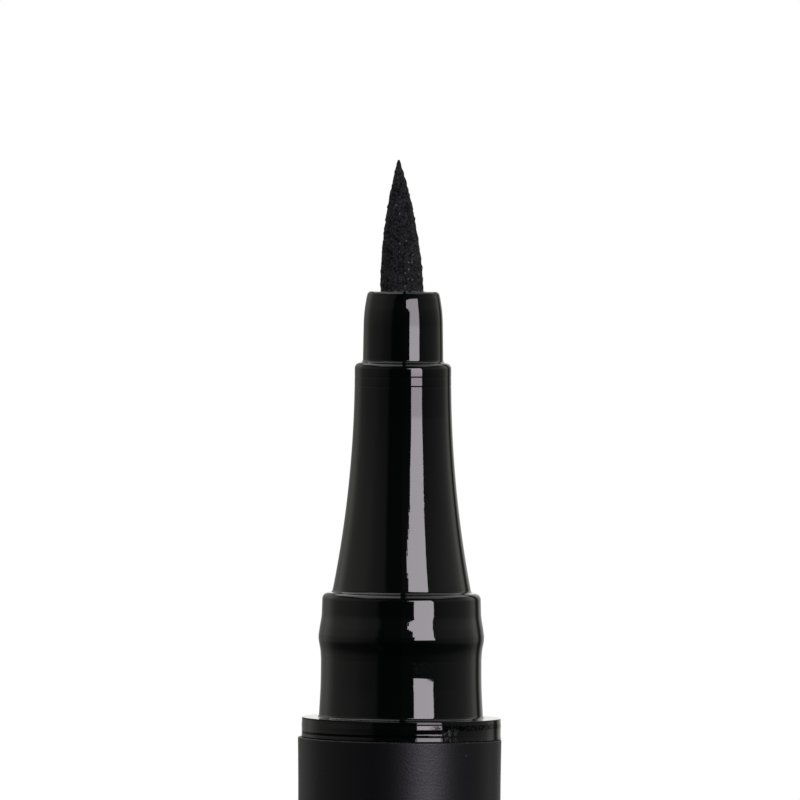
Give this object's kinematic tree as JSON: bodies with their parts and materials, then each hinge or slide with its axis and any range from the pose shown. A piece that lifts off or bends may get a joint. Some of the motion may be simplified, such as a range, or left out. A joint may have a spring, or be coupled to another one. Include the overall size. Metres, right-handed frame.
{
  "type": "liquid eyeliner pen",
  "caption": "Slim upright liquid eyeliner pen with a felt tip, flared gloss neck, snap collar and matt barrel, its cap pushed on the tail.",
  "frame": {"origin": "centre of the cap's flat closed end, which the pen stands on with its cap pushed on the tail", "axes": "+Z along the pen from the cap's closed end to the point of the felt tip; +X to the right and +Y away from a viewer in the picture's place"},
  "size_m": [0.0102, 0.0102, 0.1542],
  "materials": {
    "soft_touch_black": "matt soft-touch coat",
    "gloss_black": "high gloss as moulded",
    "natural_plastic": "uncoloured, as moulded",
    "ink_felt": "ground polyester felt soaked in black ink",
    "spring_steel": "drawn wire",
    "ball_steel": "polished",
    "gasket_rubber": "moulded"
  },
  "bodies": {
    "cap": {"cap_shell": "soft_touch_black", "inner_cap_guide": "natural_plastic", "inner_cap_spring": "spring_steel"},
    "inner_cap": {"inner_cap": "natural_plastic"},
    "pen": {"tail_plug": "gloss_black", "barrel": "soft_touch_black", "tank_stopper": "natural_plastic", "ink_tank": "natural_plastic", "tank_gasket": "gasket_rubber", "ink_collector": "natural_plastic", "feed_rod": "ink_felt", "front_section": "gloss_black", "tip_holder": "gloss_black", "felt_tip": "ink_felt"},
    "ball_left": {"mixing_ball_left": "ball_steel"},
    "ball_right": {"mixing_ball_right": "ball_steel"}
  },
  "joints": [
    {"name": "cap_pull_off", "type": "slide", "parent": "cap", "child": "pen", "axis": [0, 0, 1], "range_m": [0, 0.012]},
    {"name": "inner_cap_push", "type": "slide", "parent": "cap", "child": "inner_cap", "axis": [0, 0, -1], "range_m": [0, 0.0012], "stiffness_N_per_m": 300, "deforming": ["inner_cap_spring"]},
    {"name": "ball_left_travel", "type": "slide", "parent": "pen", "child": "ball_left", "axis": [0, 0, 1], "range_m": [0, 0.054]},
    {"name": "ball_right_travel", "type": "slide", "parent": "pen", "child": "ball_right", "axis": [0, 0, 1], "range_m": [0, 0.054]}
  ]
}
